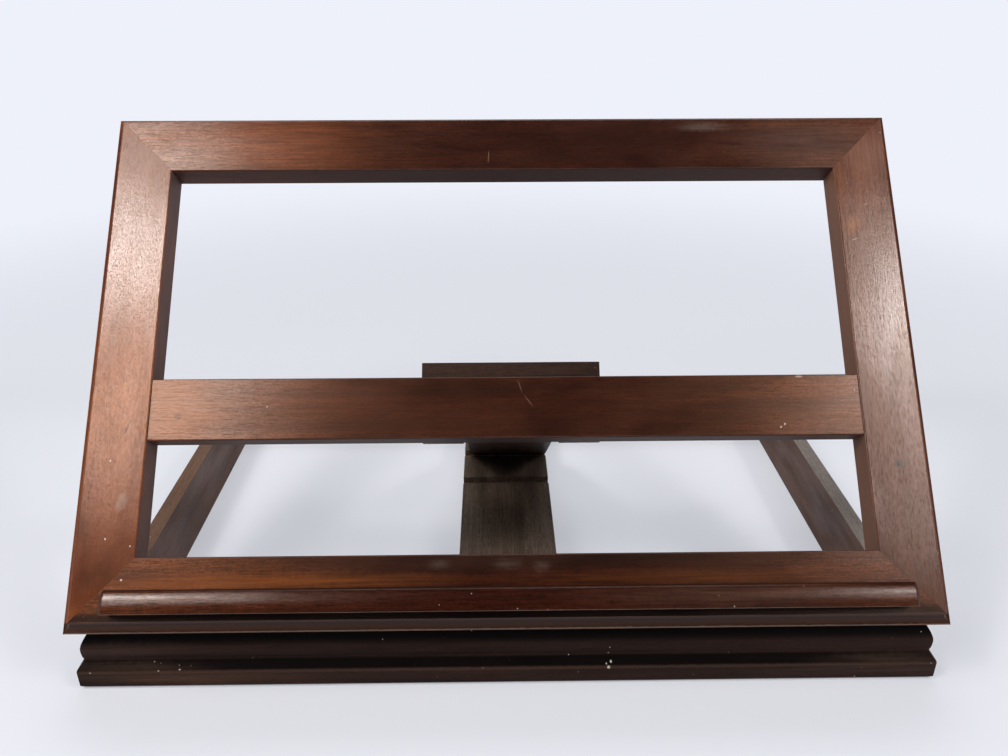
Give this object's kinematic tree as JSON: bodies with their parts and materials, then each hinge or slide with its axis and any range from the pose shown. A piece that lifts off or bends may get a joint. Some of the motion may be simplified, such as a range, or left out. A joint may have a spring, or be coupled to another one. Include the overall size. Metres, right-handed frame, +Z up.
{
  "type": "adjustable table book stand",
  "caption": "Mahogany table book stand: a mitred open desk frame with a book lip, hinged on a moulded base and propped by a strut on a notched ratchet bar.",
  "frame": {"origin": "on the table under the middle of the stand's footprint, lip included", "axes": "+X to the reader's right, +Y away from the reader, +Z up; the desk leans back as in the picture"},
  "size_m": [0.508, 0.3428, 0.2965],
  "materials": {
    "mahogany": "aged French polish, satin",
    "dark_mahogany": "dark aged polish, satin",
    "brass": "tarnished",
    "steel": "dull",
    "beech": "bare"
  },
  "bodies": {
    "base": {"base_front_rail": "dark_mahogany", "base_rear_rail": "dark_mahogany", "base_left_rail": "dark_mahogany", "base_right_rail": "dark_mahogany", "base_tongue_front_left": "beech", "base_tongue_front_right": "beech", "base_tongue_rear_left": "beech", "base_tongue_rear_right": "beech", "ratchet_bar": "dark_mahogany", "hinge_base_leaf_left": "brass", "hinge_base_leaf_left_screw_left": "brass", "hinge_base_leaf_left_screw_right": "brass", "hinge_base_leaf_right": "brass", "hinge_base_leaf_right_screw_left": "brass", "hinge_base_leaf_right_screw_right": "brass", "hinge_pin_left": "brass", "hinge_pin_right": "brass"},
    "desk": {"desk_top_rail": "mahogany", "desk_bottom_rail": "mahogany", "desk_left_stile": "mahogany", "desk_right_stile": "mahogany", "desk_middle_rail": "mahogany", "desk_tongue_top_left": "beech", "desk_tongue_top_right": "beech", "desk_tongue_bottom_left": "beech", "desk_tongue_bottom_right": "beech", "middle_rail_dowel_left_low": "beech", "middle_rail_dowel_left_high": "beech", "middle_rail_dowel_right_low": "beech", "middle_rail_dowel_right_high": "beech", "book_lip": "mahogany", "lip_screw_1": "steel", "lip_screw_2": "steel", "lip_screw_3": "steel", "lip_screw_4": "steel", "hinge_block": "dark_mahogany", "hinge_block_screw_left_low": "steel", "hinge_block_screw_left_high": "steel", "hinge_block_screw_right_low": "steel", "hinge_block_screw_right_high": "steel", "strut_pivot_rod": "steel", "pivot_washer_left": "brass", "pivot_washer_right": "brass", "hinge_desk_leaf_left": "brass", "hinge_desk_leaf_left_screw_left": "brass", "hinge_desk_leaf_left_screw_right": "brass", "hinge_desk_leaf_right": "brass", "hinge_desk_leaf_right_screw_left": "brass", "hinge_desk_leaf_right_screw_right": "brass"},
    "strut": {"strut": "dark_mahogany"}
  },
  "joints": [
    {"name": "desk_tilt", "type": "hinge", "parent": "base", "child": "desk", "pos_m": [0, -0.14867, 0.0448], "axis": [1, 0, 0], "range_deg": [-50.2, 0]},
    {"name": "strut_swing", "type": "hinge", "parent": "desk", "child": "strut", "pos_m": [0.003, -0.0692, 0.12893], "axis": [1, 0, 0], "range_deg": [0, 85.1]}
  ],
  "couplings": [
    {"joint": "strut_swing", "follows": "desk_tilt", "ratio": -1.695}
  ]
}
